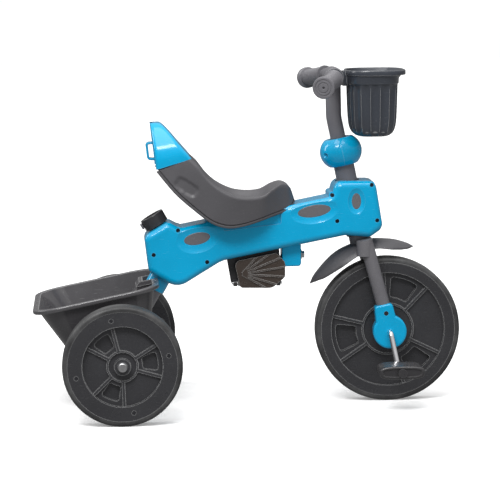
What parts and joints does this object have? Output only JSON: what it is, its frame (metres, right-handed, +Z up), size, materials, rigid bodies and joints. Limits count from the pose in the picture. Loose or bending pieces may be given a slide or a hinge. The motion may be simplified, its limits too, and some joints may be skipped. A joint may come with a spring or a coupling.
{
  "type": "tricycle",
  "caption": "Children's pedal tricycle with moulded body, sliding seat, folding foot plates, front basket and rear tub.",
  "frame": {"origin": "on the floor, under the middle of the tricycle's bounding box", "axes": "+X forward, +Y to the rider's left, +Z up"},
  "size_m": [0.7485, 0.502, 0.589],
  "materials": {
    "shell_blue": "glossy moulded cyan blue",
    "grey_plastic": "satin moulded warm grey",
    "black_plastic": "matt moulded near black",
    "slate_plastic": "satin slate grey",
    "inlay_grey": "smooth grey inlay",
    "wheel_black": "satin black moulded wheel",
    "tyre_black": "matt tread",
    "grey_paint": "grey powder coat",
    "black_paint": "black powder coat",
    "steel": "zinc plated",
    "chrome": "polished plating",
    "screw_dark": "blackened steel"
  },
  "bodies": {
    "frame": {"frame_shell_left": "shell_blue", "frame_shell_right": "shell_blue", "seat_rail": "shell_blue", "shell_screws": "screw_dark", "window_inlays": "inlay_grey", "block_bolt": "steel", "main_tube": "grey_paint", "head_tube": "steel", "head_bushes": "black_plastic", "handle_socket": "black_plastic", "socket_clip": "inlay_grey", "tail_sleeve": "shell_blue", "axle_carrier": "black_paint", "rear_axle": "steel", "axle_nuts": "steel", "axle_spacers": "black_plastic", "rear_bucket": "black_plastic", "bucket_clips": "black_plastic", "footrest_bracket": "black_plastic", "footrest_pins": "steel"},
    "seat": {"seat_shell": "grey_plastic", "seat_back": "shell_blue", "seat_loop": "shell_blue", "seat_slider": "black_plastic"},
    "footrest_flap_right": {"footrest_right": "black_plastic"},
    "footrest_flap_left": {"footrest_left": "black_plastic"},
    "steering": {"steerer": "steel", "stem_sleeve": "grey_plastic", "collar_front": "shell_blue", "collar_rear": "shell_blue", "collar_bolts": "screw_dark", "bar_stem": "grey_plastic", "bar_cap": "grey_plastic", "handlebar": "grey_paint", "grip_right": "grey_plastic", "grip_left": "grey_plastic", "basket": "slate_plastic", "basket_hooks": "slate_plastic", "fork_crown": "grey_paint", "fork_leg_right": "grey_paint", "fork_leg_left": "grey_paint", "mudguard": "grey_plastic", "hub_cover_right": "shell_blue", "hub_cover_left": "shell_blue", "hub_cover_screws": "screw_dark"},
    "front_wheel": {"front_discs": "wheel_black", "front_tyre": "tyre_black", "crank_axle": "chrome", "pedal_cap_right": "black_plastic", "pedal_cap_left": "black_plastic"},
    "pedal_block_right": {"pedal_right": "black_plastic"},
    "pedal_block_left": {"pedal_left": "black_plastic"},
    "rear_wheel_right": {"rear_discs_right": "wheel_black", "rear_tyre_right": "tyre_black", "rear_bushes_right": "inlay_grey", "rear_screws_right": "screw_dark"},
    "rear_wheel_left": {"rear_discs_left": "wheel_black", "rear_tyre_left": "tyre_black", "rear_bushes_left": "inlay_grey", "rear_screws_left": "screw_dark"}
  },
  "joints": [
    {"name": "steering_turn", "type": "hinge", "parent": "frame", "child": "steering", "pos_m": [0.201, 0, 0.284], "axis": [-0.1994, 0, 0.9799], "range_deg": [-40, 40]},
    {"name": "front_wheel_spin", "type": "hinge", "parent": "steering", "child": "front_wheel", "pos_m": [0.248, 0, 0.127], "axis": [0, 1, 0], "continuous": true},
    {"name": "pedal_right_spin", "type": "hinge", "parent": "front_wheel", "child": "pedal_block_right", "pos_m": [0.25807, -0.131, 0.06988], "axis": [0, 1, 0], "continuous": true},
    {"name": "pedal_left_spin", "type": "hinge", "parent": "front_wheel", "child": "pedal_block_left", "pos_m": [0.23793, 0.131, 0.18412], "axis": [0, 1, 0], "continuous": true},
    {"name": "rear_wheel_right_spin", "type": "hinge", "parent": "frame", "child": "rear_wheel_right", "pos_m": [-0.222, -0.2195, 0.1016], "axis": [0, 1, 0], "continuous": true},
    {"name": "rear_wheel_left_spin", "type": "hinge", "parent": "frame", "child": "rear_wheel_left", "pos_m": [-0.222, 0.2195, 0.1016], "axis": [0, 1, 0], "continuous": true},
    {"name": "seat_adjust", "type": "slide", "parent": "frame", "child": "seat", "axis": [0.9825, 0, 0.1864], "range_m": [-0.04, 0]},
    {"name": "footrest_right_fold", "type": "hinge", "parent": "frame", "child": "footrest_flap_right", "pos_m": [0.018, -0.019, 0.213], "axis": [1, 0, 0], "range_deg": [0, 90]},
    {"name": "footrest_left_fold", "type": "hinge", "parent": "frame", "child": "footrest_flap_left", "pos_m": [0.018, 0.019, 0.213], "axis": [-1, 0, 0], "range_deg": [0, 90]}
  ]
}
